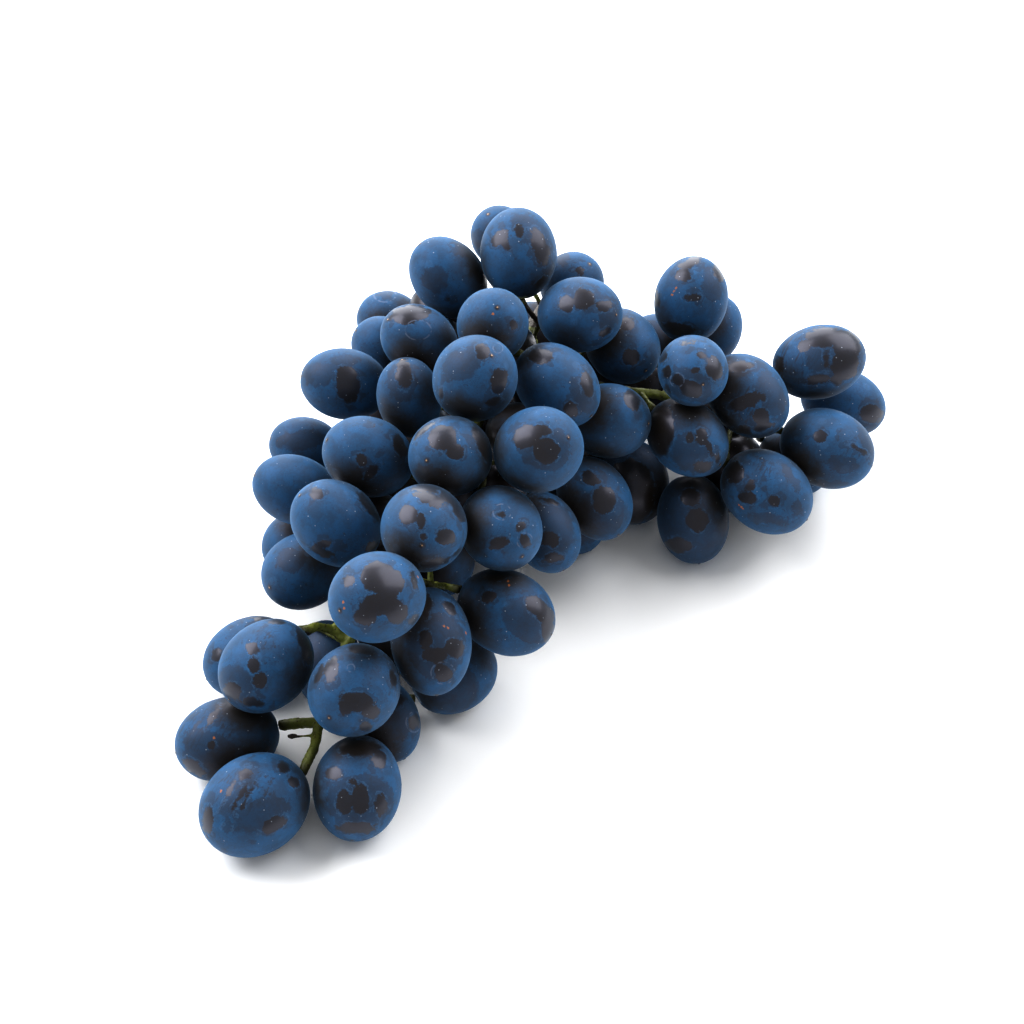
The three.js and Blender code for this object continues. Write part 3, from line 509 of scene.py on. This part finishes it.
def skin_material(sizes, flecks):
    """Blue-black skin under a waxy blue bloom that is rubbed off in patches, with painted shade near
    neighbouring berries and on berries that lie in shade.
    """
    material, graph, shader = new_material("grape_skin")
    place = graph.place()
    specks = shared_group("specks", specks_group)
    mottle = shared_group("mottle", mottle_group)

    ragged = graph.math("SUBTRACT", graph.noise(place, 0.42, detail=6, roughness=0.6), 0.5)
    crisp = graph.math("SUBTRACT", graph.noise(place, 2.2, detail=5, roughness=0.65), 0.5)
    powder = graph.math("SUBTRACT", graph.noise(place, 7.0, detail=2, roughness=0.6), 0.5)
    shift = graph.math("ADD", graph.math("MULTIPLY", ragged, 2.6), graph.math("MULTIPLY", crisp, 1.2))
    hand = graph.math("ADD", graph.attribute("rub"), shift)

    rubbed = rubbed_and_shaded_bloom(graph, place, hand, shift, crisp)
    streak = scraped_streaks(graph, place, shift)
    scratch = fine_scratches(graph, place, crisp)

    # Bloom is thinner and darker near other berries: partly where they press on each other, partly painted
    # shade in the gaps between them
    gap = graph.math("ADD", graph.attribute("touch"), shift)
    touch = graph.ramp(gap, 1.0, 8.0, 0.95, 0.0)
    cloudy = use_group(graph, mottle, {"Place": place, "Coarse": 0.22, "Fine": 1.6}, "Share")
    thin = graph.math("ADD", touch, graph.math("MULTIPLY", cloudy, 0.35), clamp=True)

    # Round spots and rings left by drops
    drops = use_group(graph, specks, {"Place": place, "Spacing": 5.5, "Size": 1.5, "Soft": 0.25}, "Mask")
    ring = graph.math("ADD", graph.attribute("ring"), graph.math("MULTIPLY", crisp, 0.4))
    ring = graph.math("ABSOLUTE", ring)
    broken = graph.ramp(graph.noise(place, 0.6, detail=3), 0.42, 0.6)
    rim = graph.math("MULTIPLY", graph.ramp(ring, 0.06, 0.26, 1.0, 0.0), broken)
    # The wax is heaped in a thin, broken lip round a patch
    lip = graph.math("ABSOLUTE", graph.math("SUBTRACT", hand, 0.3))
    lip = graph.math("MULTIPLY", graph.ramp(lip, 0.04, 0.3, 1.0, 0.0), graph.ramp(broken, 0.2, 0.9))

    # The two ends, and where a neighbour presses the bloom off; close to neighbours this bared skin is also
    # painted shade
    tip = graph.attribute("tip")
    ragged_tip = graph.math("ADD", tip, graph.math("MULTIPLY", crisp, 0.8))
    scar_dot = graph.ramp(tip, 0.16, 0.3, 1.0, 0.0)
    scar_ring = graph.ramp(ragged_tip, 0.4, 1.1, 0.85, 0.0)
    stalk_ring = graph.ramp(graph.math("ADD", graph.attribute("stalk"), shift), 1.5, 3.2, 0.9, 0.0)
    pressed_and_shaded = graph.ramp(gap, 0.3, 3.6, 0.96, 0.0)
    bare = graph.math("MAXIMUM", rubbed, graph.math("MAXIMUM", scar_ring, stalk_ring))
    bare = graph.math("MAXIMUM", bare, pressed_and_shaded)
    bare = graph.math("MAXIMUM", graph.math("MAXIMUM", bare, streak), graph.math("MULTIPLY", scratch, 0.6))
    waxed = graph.math("SUBTRACT", 1.0, bare, clamp=True)

    # The thin-bloom colour comes in with real cloudy thinning and with the painted shade near other berries.
    wax = graph.blend(thin, colour(sizes.bloom), colour(sizes.thin_bloom_and_shade))
    wax = graph.blend(graph.math("MULTIPLY", drops, 0.16), wax, DROP_WAX)
    haze = use_group(graph, mottle, {"Place": place, "Coarse": 0.45, "Fine": 2.6}, "Share")
    covered = graph.math("MULTIPLY", waxed, graph.math("SUBTRACT", 1.0, graph.math("MULTIPLY", thin, 0.35)))
    covered = graph.math("MAXIMUM", covered, graph.math("MULTIPLY", haze, 0.07))
    covered = graph.math("ADD", covered, graph.math("MULTIPLY", powder, 0.28), clamp=True)
    base = graph.blend(covered, colour(sizes.skin), wax)
    base = graph.blend(graph.math("MULTIPLY", rim, 0.5), base, RING_WAX)
    base = graph.blend(graph.math("MULTIPLY", lip, 0.3), base, LIP_WAX)

    pale = use_group(graph, specks, {"Place": place, "Spacing": 1.6, "Size": 0.17, "Soft": 0.05}, "Mask")
    base = graph.blend(graph.math("MULTIPLY", pale, 0.75), base, PALE_SPECK)
    brown = use_group(graph, specks, {"Place": place, "Spacing": 3.7, "Size": 0.2, "Soft": 0.06}, "Mask")
    base = graph.blend(graph.math("MULTIPLY", brown, 0.4), base, BROWN_SPECK)
    base = graph.blend(rust_flecks(graph, place, flecks, crisp), base, colour(sizes.rust))
    base = graph.blend(graph.math("MULTIPLY", scar_dot, 0.9), base, SCAR_CORK)
    graph.tree.links.new(base, shader.inputs["Base Color"])

    height = graph.math("ADD", graph.math("MULTIPLY", covered, 0.7), graph.math("MULTIPLY", ragged, 0.5))
    height = graph.math("ADD", height, graph.math("MULTIPLY", pale, 0.5))
    height = graph.math("ADD", height, graph.math("MULTIPLY", powder, 0.3))
    finish_skin(graph, shader, covered, crisp, height)
    return material


def stem_material(sizes):
    """Yellow-green young bark with corky brown warts."""
    material, graph, shader = new_material("stem_bark")
    place = graph.place()
    mottle = shared_group("mottle", mottle_group)
    specks = shared_group("specks", specks_group)
    cloudy = use_group(graph, mottle, {"Place": place, "Coarse": 0.28, "Fine": 1.5}, "Share")
    corky = graph.ramp(graph.noise(place, 0.9, detail=5, roughness=0.7), 0.56, 0.66)
    warts = use_group(graph, specks, {"Place": place, "Spacing": 1.1, "Size": 0.34, "Soft": 0.06}, "Mask")
    base = graph.blend(graph.math("MULTIPLY", cloudy, 0.7), colour(sizes.green), OLD_GREEN)
    brown = graph.math("MAXIMUM", graph.math("MULTIPLY", corky, 0.8), graph.math("MULTIPLY", warts, 0.7))
    base = graph.blend(brown, base, colour(sizes.brown))
    # Painted shade: the stem is darkened where it runs close to berries.
    shaded = graph.ramp(graph.attribute("touch"), 0.5, 4.0, 0.75, 0.0)
    base = graph.blend(shaded, base, SHADED_BARK)
    # The dried parts, and one twig darkened as painted shade.
    dried = graph.ramp(graph.attribute("dried"), -0.2, 0.4, 1.0, 0.0)
    base = graph.blend(dried, base, DRIED_AND_SHADED_BARK)
    graph.tree.links.new(base, shader.inputs["Base Color"])
    rough = graph.ramp(brown, 0.0, 1.0, 0.5, 0.8)
    graph.tree.links.new(rough, shader.inputs["Roughness"])
    height = graph.math("ADD", graph.math("MULTIPLY", warts, 0.6), graph.noise(place, 1.8, detail=5))
    bump = graph.add("ShaderNodeBump", {"Strength": 0.5, "Distance": 0.25 * MM, "Height": height})
    graph.tree.links.new(bump.outputs["Normal"], shader.inputs["Normal"])
    return material


def floor_material():
    """Plain matt white, slightly uneven."""
    material, graph, shader = new_material("white_floor")
    shade = graph.ramp(graph.noise(graph.place(), 0.004, detail=3), 0.3, 0.7, 0.94, 0.96)
    tone = graph.add("ShaderNodeCombineColor", {"Red": shade, "Green": shade, "Blue": shade}).outputs[0]
    graph.tree.links.new(tone, shader.inputs["Base Color"])
    shader.inputs["Roughness"].default_value = 0.85
    return material


def deselect():
    bpy.ops.object.select_all(action="DESELECT")


def pick(piece):
    deselect()
    piece.select_set(True)
    bpy.context.view_layer.objects.active = piece


def apply_modifier(piece, kind, **settings):
    pick(piece)
    modifier = piece.modifiers.new(kind.lower(), kind)
    for name, value in settings.items():
        setattr(modifier, name, value)
    bpy.ops.object.modifier_apply(modifier=modifier.name)


def roughen(piece, texture, height):
    """Moves the skin in and out by a texture in space, half the height each way."""
    apply_modifier(piece, "DISPLACE", texture=texture, texture_coords="GLOBAL", strength=height,
                   mid_level=0.5)


def finish_piece(piece, name, slot, material, *nodes):
    piece.name = name
    piece.data.name = name
    piece.data.materials.clear()
    piece.data.materials.append(material)
    pick(piece)
    bpy.ops.object.shade_smooth()
    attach(piece, BODY)
    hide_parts(*nodes)


def points_of(mesh):
    points = np.empty(len(mesh.vertices) * 3, np.float32)
    mesh.vertices.foreach_get("co", points)
    return points.reshape(-1, 3).astype(float)


def fit_spheroid(points):
    """The middle, long way and half-lengths of the spheroid through these points."""
    middle = points.mean(0)
    x, y, z = ((points - middle) / MM).T
    rows = np.stack([x * x, y * y, z * z, 2 * x * y, 2 * x * z, 2 * y * z, 2 * x, 2 * y, 2 * z], 1)
    q = np.linalg.lstsq(rows, np.ones(len(rows)), rcond=None)[0]
    form = np.array([[q[0], q[3], q[4]], [q[3], q[1], q[5]], [q[4], q[5], q[2]]])
    centre = -np.linalg.solve(form, q[6:])
    values, ways = np.linalg.eigh(form / (1 + centre @ form @ centre))
    radii = MM / np.sqrt(values)
    return middle + centre * MM, ways[:, 0], radii[0], radii[1:].mean()


def berries_of(node, stem_points):
    """Each berry of a CAD node: its faces end at the creases between it and its neighbours."""
    shape = bmesh.new()
    shape.from_mesh(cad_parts[node].data)
    bmesh.ops.remove_doubles(shape, verts=shape.verts, dist=SAME_POINT)
    creases = {edge for edge in shape.edges if edge.calc_face_angle_signed(0) < -CREASE}
    creased = {vertex for edge in creases for vertex in edge.verts}
    waiting = set(shape.faces)
    found = []
    for first in shape.faces:
        if first not in waiting:
            continue
        waiting.discard(first)
        patch, edge_faces = {first}, [first]
        while edge_faces:
            for edge in edge_faces.pop().edges:
                if edge in creases:
                    continue
                for face in edge.link_faces:
                    if face in waiting:
                        waiting.discard(face)
                        patch.add(face)
                        edge_faces.append(face)
        corners = {vertex for face in patch for vertex in face.verts} - creased
        points = sorted(tuple(vertex.co) for vertex in corners if vertex.co.z > ON_SURFACE)
        place, way, long, short = fit_spheroid(np.array(points))
        ends = [place - way * long, place + way * long]
        gaps = [np.linalg.norm(stem_points - end, axis=1).min() for end in ends]
        if gaps[1] < gaps[0]:
            way = -way
        found.append({"place": place, "way": way, "long": long, "short": short})
    shape.free()
    return found


def read_bunch():
    """The berries by CAD node, and all of them in one list."""
    stem_points = points_of(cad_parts["stem"].data)
    names = sorted(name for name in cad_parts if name.startswith("berr"))
    nodes = {name: berries_of(name, stem_points) for name in names}
    return nodes, [berry for berries in nodes.values() for berry in berries]


def select_band(piece, low, high):
    """In edit mode, selects the vertices between two heights."""
    bpy.ops.mesh.select_all(action="DESELECT")
    shape = bmesh.from_edit_mesh(piece.data)
    for vertex in shape.verts:
        vertex.select = low <= vertex.co.z <= high
    shape.select_flush_mode()
    bmesh.update_edit_mesh(piece.data)


def model_berry(sizes):
    """One berry of radius 1, its blossom end up: the pattern that every berry is copied from."""
    deselect()
    bpy.ops.mesh.primitive_uv_sphere_add(segments=sizes.segments, ring_count=sizes.rings, radius=1)
    berry = bpy.context.object
    bpy.ops.object.mode_set(mode="EDIT")
    bpy.ops.mesh.select_mode(type="VERT")
    for share in SCAR_LOOPS:
        height = math.cos(sizes.scar * share)
        bpy.ops.mesh.select_all(action="SELECT")
        bpy.ops.mesh.bisect(plane_co=(0, 0, height), plane_no=(0, 0, 1))
    bpy.ops.mesh.select_all(action="SELECT")
    bpy.ops.transform.tosphere(value=1)
    # The style scar is a low nub in a faint dent.
    select_band(berry, math.cos(sizes.scar * NUB_EDGE), PAST_THE_END)
    bpy.ops.transform.translate(value=(0, 0, sizes.nub))
    # The skin turns in to the pedicel.
    select_band(berry, -PAST_THE_END, -math.cos(sizes.dimple_floor))
    bpy.ops.transform.translate(value=(0, 0, sizes.dimple), use_proportional_edit=True,
                                proportional_edit_falloff="SMOOTH", proportional_size=sizes.dimple_reach)
    bpy.ops.object.mode_set(mode="OBJECT")
    return berry


def sight_distances(points, spots):
    """How far points are outside the nearest of these patches of the picture, in millimetres."""
    off = points - np.array(EYE)
    ahead = off @ np.array(VIEW_AHEAD)
    u = PICTURE_SIZE / 2 + FOCAL_LENGTH * (off @ np.array(VIEW_RIGHT)) / ahead
    v = PICTURE_SIZE / 2 - FOCAL_LENGTH * (off @ np.array(VIEW_UP)) / ahead
    found = np.full(len(points), FAR_OFF / MM)
    for middle_u, middle_v, wide, high, turn in spots:
        angle = math.radians(turn)
        along = (u - middle_u) * math.cos(angle) - (v - middle_v) * math.sin(angle)
        across = (u - middle_u) * math.sin(angle) + (v - middle_v) * math.cos(angle)
        outside = (np.hypot(along / wide, across / high) - 1) * min(wide, high) / PIXELS_PER_MM
        found = np.minimum(found, outside)
    return found


def nearest_neighbour(points, berry, bunch):
    """How far points are from the nearest other berry's skin, in millimetres."""
    found = np.full(len(points), 2 * FAR_OFF / MM)
    for other in bunch:
        if other is berry or (berry and np.linalg.norm(other["place"] - berry["place"]) > NEAR_BERRY):
            continue
        off = points - other["place"]
        along = off @ other["way"]
        across = np.linalg.norm(off - along[:, None] * other["way"], axis=1)
        scaled = np.hypot(along / other["long"], across / other["short"])
        gap = np.linalg.norm(off, axis=1) * (1 - 1 / scaled) / MM
        found = np.minimum(found, gap)
    return found


def set_attribute(mesh, name, values):
    attribute = mesh.attributes.new(name, "FLOAT", "POINT")
    attribute.data.foreach_set("value", np.asarray(values, np.float32))


def place_berry(pattern, berry, bunch, number, lumps, sizes):
    """A copy of the pattern at a berry's place, with the marks of that berry."""
    piece = pattern.copy()
    piece.data = pattern.data.copy()
    bpy.context.scene.collection.objects.link(piece)
    turn = Vector((0, 0, 1)).rotation_difference(Vector(berry["way"])).to_matrix().to_4x4()
    size = Matrix.Diagonal((berry["short"], berry["short"], berry["long"], 1))
    piece.data.transform(Matrix.Translation(berry["place"]) @ turn @ size)
    roughen(piece, lumps, sizes.lump)

    # Nothing of the skin goes below the surface that the bunch lies on.
    points = points_of(piece.data)
    points[:, 2] = np.maximum(points[:, 2], 0)
    piece.data.vertices.foreach_set("co", points.astype(np.float32).ravel())
    piece.data.update()

    off = points - berry["place"]
    sight = np.array(EYE) - points
    sight /= np.linalg.norm(sight, axis=1)[:, None]
    along = off @ berry["way"]
    normal = (off - along[:, None] * berry["way"]) / berry["short"] ** 2
    normal += along[:, None] * berry["way"] / berry["long"] ** 2
    facing = (normal * sight).sum(1) / np.linalg.norm(normal, axis=1)
    hidden = np.clip((SLANT - facing) / SLANT_FADE, 0, 1)
    mesh = piece.data
    for name, table in (("rub", RUBS_AND_SHADE), ("thin", THIN_AND_SHADE), ("scraped", SCRAPES), ("ring", RINGS)):
        set_attribute(mesh, name, sight_distances(points, table.get(number, ())) + hidden * FAR_OFF / MM)
    ends = [berry["place"] + berry["way"] * berry["long"], berry["place"] - berry["way"] * berry["long"]]
    for name, end in zip(("tip", "stalk"), ends):
        set_attribute(mesh, name, np.linalg.norm(points - end, axis=1) / MM)
    # Unseen berries get painted shade: their distance to the neighbours is made shorter, more so on the side
    # in view.
    shaded = 0 if number else UNSEEN_SHADE + UNSEEN_SHADE_IN_VIEW * (1 - hidden)
    set_attribute(mesh, "touch", nearest_neighbour(points, berry, bunch) - shaded)
    worn = WORN_LEVEL if number else UNSEEN_WORN_LEVEL
    set_attribute(mesh, "worn", worn + IN_VIEW_SPARED * (1 - hidden))
    return piece


def squash(vector, berry):
    """A vector in the space where the berry is a ball of radius 1."""
    along = vector @ berry["way"]
    flat = (vector - along * berry["way"]) / berry["short"]
    return flat + along * berry["way"] / berry["long"]


def fleck_places(berries):
    """Where the sight lines of the flecks meet their berries, in millimetres."""
    found = []
    for number, dots in FLECKS.items():
        berry = berries[number - 1]
        for u, v in dots:
            way = np.array(VIEW_AHEAD + VIEW_RIGHT * ((u - PICTURE_SIZE / 2) / FOCAL_LENGTH)
                           - VIEW_UP * ((v - PICTURE_SIZE / 2) / FOCAL_LENGTH))
            start = squash(np.array(EYE) - berry["place"], berry)
            ahead = squash(way, berry)
            half = start @ ahead / (ahead @ ahead)
            rest = half * half - (start @ start - 1) / (ahead @ ahead)
            if rest > 0:
                found.append((np.array(EYE) + way * (-half - math.sqrt(rest))) / MM)
    return found


class GRAPES_OT_berries(bpy.types.Operator):
    """Model one berry and copy it to each berry of the bunch"""

    bl_idname = "grapes.berries"
    bl_label = "Berries"

    def execute(self, context):
        sizes = context.scene.grape_berries
        nodes, bunch = read_bunch()
        single = [f"berry_{number + 1:02d}" for number in range(SEEN_BERRIES)]
        seen = [nodes[node][0] for node in single]
        hidden = {node: berries for node, berries in nodes.items() if node not in single}
        material = skin_material(sizes, fleck_places(seen))
        lumps = bpy.data.textures.new("lumps", "CLOUDS")
        lumps.noise_scale = sizes.lump_size
        lumps.noise_depth = 1
        pattern = model_berry(sizes)
        for i, (node, berry) in enumerate(zip(single, seen)):
            piece = place_berry(pattern, berry, bunch, i + 1, lumps, sizes)
            finish_piece(piece, f"grape_{i + 1:02d}", "skin", material, node)
        for node, berries in hidden.items():
            pieces = [place_berry(pattern, berry, bunch, 0, lumps, sizes) for berry in berries]
            pick(pieces[0])
            for piece in pieces:
                piece.select_set(True)
            bpy.ops.object.join()
            finish_piece(pieces[0], node.replace("berries", "grapes"), "skin", material, node)
        bpy.data.objects.remove(pattern)
        return {"FINISHED"}


class GRAPES_OT_stem(bpy.types.Operator):
    """Round and roughen the stem's twigs"""

    bl_idname = "grapes.stem"
    bl_label = "Stem"

    def execute(self, context):
        sizes = context.scene.grape_stem
        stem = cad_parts["stem"].copy()
        stem.data = stem.data.copy()
        stem.parent = None
        context.scene.collection.objects.link(stem)
        pick(stem)
        bpy.ops.object.mode_set(mode="EDIT")
        bpy.ops.mesh.select_all(action="SELECT")
        bpy.ops.mesh.remove_doubles(threshold=SAME_POINT)
        bpy.ops.object.mode_set(mode="OBJECT")
        warts = bpy.data.textures.new("warts", "CLOUDS")
        warts.noise_scale = sizes.wart_size
        apply_modifier(stem, "REMESH", mode="VOXEL", voxel_size=sizes.grain)
        apply_modifier(stem, "SMOOTH", factor=0.5, iterations=5)
        apply_modifier(stem, "DISPLACE", strength=sizes.swell, mid_level=0)
        roughen(stem, warts, sizes.wart)
        points = points_of(stem.data)
        set_attribute(stem.data, "dried", sight_distances(points, DRIED_BERRY + BROWN_AND_SHADED_TWIGS))
        # Distance to the berries, which paints shade on the stem near them.
        set_attribute(stem.data, "touch", nearest_neighbour(points, None, read_bunch()[1]))
        finish_piece(stem, "stem_twigs", "stem", stem_material(sizes), "stem")
        return {"FINISHED"}


class GRAPES_OT_stage(bpy.types.Operator):
    """Lay the floor and set the lights and the camera"""

    bl_idname = "grapes.stage"
    bl_label = "Stage"

    def execute(self, context):
        sizes = context.scene.grape_stage
        deselect()
        bpy.ops.mesh.primitive_plane_add(size=sizes.floor)
        floor = context.object
        floor.name = "floor"
        floor.data.materials.append(floor_material())

        for name, (way, far, wide) in LIGHTS.items():
            bpy.ops.object.light_add(type="AREA", location=LIT_POINT + Vector(way).normalized() * far)
            light = context.object
            light.name = name
            light.data.size = wide
            light.data.energy = getattr(sizes, name)
            light.rotation_euler = (-Vector(way)).to_track_quat("-Z", "Y").to_euler()

        world = bpy.data.worlds.new("studio")
        world.use_nodes = True
        sky = world.node_tree.nodes["Background"]
        sky.inputs["Color"].default_value = WHITE
        sky.inputs["Strength"].default_value = sizes.world
        context.scene.world = world

        bpy.ops.object.camera_add(location=EYE, rotation=(math.pi / 2 - VIEW_ELEVATION, 0, 0))
        camera = context.object
        camera.name = "camera"
        camera.data.sensor_width = SENSOR_WIDTH
        camera.data.lens = SENSOR_WIDTH * FOCAL_LENGTH / PICTURE_SIZE
        camera.data.clip_end = CLIP_END
        context.scene.camera = camera
        context.scene.view_settings.view_transform = "Standard"
        context.scene.view_settings.gamma = sizes.contrast
        return {"FINISHED"}


class GRAPES_PT_panel(bpy.types.Panel):
    """Lists the pieces of the bunch and their sizes"""

    bl_label = "Grapes"
    bl_space_type = "VIEW_3D"
    bl_region_type = "UI"
    bl_category = "Grapes"

    def draw(self, context):
        for settings, operator in PARTS:
            group = getattr(context.scene, settings)
            for name in group.__annotations__:
                self.layout.prop(group, name)
            self.layout.operator(operator)


PARTS = [("grape_berries", "grapes.berries"), ("grape_stem", "grapes.stem"), ("grape_stage", "grapes.stage")]
SETTINGS = {"grape_berries": BerrySizes, "grape_stem": StemSizes, "grape_stage": StageSizes}
CLASSES = [
    BerrySizes, StemSizes, StageSizes, GRAPES_OT_berries, GRAPES_OT_stem, GRAPES_OT_stage, GRAPES_PT_panel,
]


def register():
    for kind in CLASSES:
        bpy.utils.register_class(kind)
    for name, kind in SETTINGS.items():
        setattr(bpy.types.Scene, name, PointerProperty(type=kind))


def unregister():
    for name in SETTINGS:
        delattr(bpy.types.Scene, name)
    for kind in reversed(CLASSES):
        bpy.utils.unregister_class(kind)


def main():
    register()
    bpy.ops.grapes.berries()
    bpy.ops.grapes.stem()
    bpy.ops.grapes.stage()


if __name__ == "__main__":
    main()
